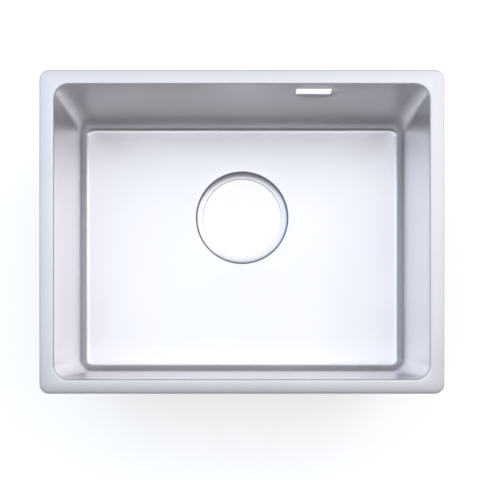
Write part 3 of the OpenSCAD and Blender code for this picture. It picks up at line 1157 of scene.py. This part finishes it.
class SINK_OT_stage(Operator):
    """Set the pale floor and backdrop, the softboxes and the camera"""

    bl_idname = "sink.stage"
    bl_label = "Stage"

    def execute(self, context):
        stage, colours = context.scene.sink_stage, context.scene.sink_colours
        self.backdrop(colours, stage)
        # Those that overlap hang at different heights, so that their light adds up
        for side, place, size, radiance, tint in (
            ("overhead", (0.45, 0.9, 2.60), (3.6, 2.7), stage.overhead, stage.cool),
            ("left", (-1.8, 0.9, 2.60), (0.9, 2.7), stage.left, stage.sky),
            ("right", (1.8, 0.9, 2.56), (0.9, 2.7), stage.right, (1, 1, 1)),
            ("front", (-0.2, -0.3, 2.52), (2.4, 0.6), stage.front, stage.cool),
        ):
            softbox("softbox_" + side, place, (*place[:2], 0), size, radiance, tint)
        for side, place in (("front", (0, -2.57, 0.62)), ("left", (-2.57, 0, 0.62))):
            softbox("softbox_low_" + side, place, (0, 0, RIM_Z), (2.6, 0.7), stage.low, stage.cool)
        softbox("softbox_below", (0, 0, -1.6), (0, 0, 0), (2.4, 2.4), stage.below, stage.cool)
        self.surroundings(stage)
        self.camera(stage)
        context.scene.view_settings.view_transform = "Standard"
        return {"FINISHED"}

    def backdrop(self, colours, stage):
        """A round floor that bends up into a wall."""
        radius, lip, wall, bend = 3.2, 0.9, 2.6, 0.7
        deselect()
        bpy.ops.mesh.primitive_circle_add(
            vertices=96, radius=radius, fill_type="NGON", location=(0, 0, BOWL_LOW.z)
        )
        floor = named("backdrop")
        edit(floor)
        pick(floor, "FACE", lambda f: True)
        bpy.ops.mesh.inset(thickness=lip, depth=0)
        outer = radius - lip / 2
        pick(floor, "EDGE", lambda e: all(v.co.xy.length > outer for v in e.verts))
        bpy.ops.mesh.extrude_region_move(TRANSFORM_OT_translate={"value": (0, 0, wall)})
        foot = bend / 2
        pick(floor, "EDGE", lambda e: all(v.co.xy.length > outer and v.co.z < foot for v in e.verts))
        round_edges(bend, 12)
        whole()
        bpy.ops.mesh.normals_make_consistent(inside=True)
        deselect()
        middle = min(floor.data.polygons, key=lambda f: f.center.length)
        if middle.normal.z < 0:
            turn_over(floor)
        smooth(floor, 40)
        tidy_place(floor)
        floor.data.materials.append(backdrop_paint(colours, stage))

    def surroundings(self, stage):
        """Plain grey surroundings."""
        world = bpy.data.worlds.new("studio")
        bpy.context.scene.world = world
        world.use_nodes = True
        tree = world.node_tree
        back = tree.nodes["Background"]
        back.inputs["Color"].default_value = (1, 1, 1, 1)
        # The camera sees the surroundings white
        seen = tree.nodes.new("ShaderNodeMapRange")
        path = tree.nodes.new("ShaderNodeLightPath")
        tree.links.new(path.outputs["Is Camera Ray"], seen.inputs["Value"])
        seen.inputs["To Min"].default_value = stage.world
        tree.links.new(seen.outputs[0], back.inputs["Strength"])

    def camera(self, stage):
        """Looks straight down from over the sink's front edge."""
        deselect()
        bpy.ops.object.camera_add(location=stage.camera_place, rotation=(0, 0, 0))
        camera = bpy.context.object
        camera.name = camera.data.name = "camera"
        camera.data.sensor_width = 36
        camera.data.lens = stage.lens
        camera.data.shift_x, camera.data.shift_y = stage.shift
        camera.data.clip_start = 0.01
        bpy.context.scene.camera = camera


OPERATORS = (
    SINK_OT_bowl, SINK_OT_seal, SINK_OT_pads, SINK_OT_rails, SINK_OT_hangers, SINK_OT_screws,
    SINK_OT_washers, SINK_OT_claws, SINK_OT_stage,
)


class SINK_PT_sidebar(Panel):
    """Steps that model, finish and light the sink"""

    bl_idname = "SINK_PT_sidebar"
    bl_label = "Kitchen sink"
    bl_space_type = "VIEW_3D"
    bl_region_type = "UI"
    bl_category = "Sink"

    def draw(self, context):
        for step in OPERATORS:
            self.layout.operator(step.bl_idname)
        for key, group in SETTINGS.items():
            box = self.layout.box()
            for name in group.__annotations__:
                box.prop(getattr(context.scene, key), name)


def register():
    """Adds the settings, the steps and the panel."""
    for key, group in SETTINGS.items():
        bpy.utils.register_class(group)
        setattr(bpy.types.Scene, key, PointerProperty(type=group))
    for step in OPERATORS + (SINK_PT_sidebar,):
        bpy.utils.register_class(step)


def unregister():
    """Takes them away again."""
    for step in reversed(OPERATORS + (SINK_PT_sidebar,)):
        bpy.utils.unregister_class(step)
    for key, group in SETTINGS.items():
        delattr(bpy.types.Scene, key)
        bpy.utils.unregister_class(group)


def main():
    """Runs every step in order."""
    register()
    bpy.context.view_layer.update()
    bpy.ops.sink.bowl()
    bpy.ops.sink.seal()
    bpy.ops.sink.pads()
    bpy.ops.sink.rails()
    bpy.ops.sink.hangers()
    bpy.ops.sink.screws()
    bpy.ops.sink.washers()
    bpy.ops.sink.claws()
    bpy.ops.sink.stage()
    deselect()


if __name__ == "__main__":
    main()
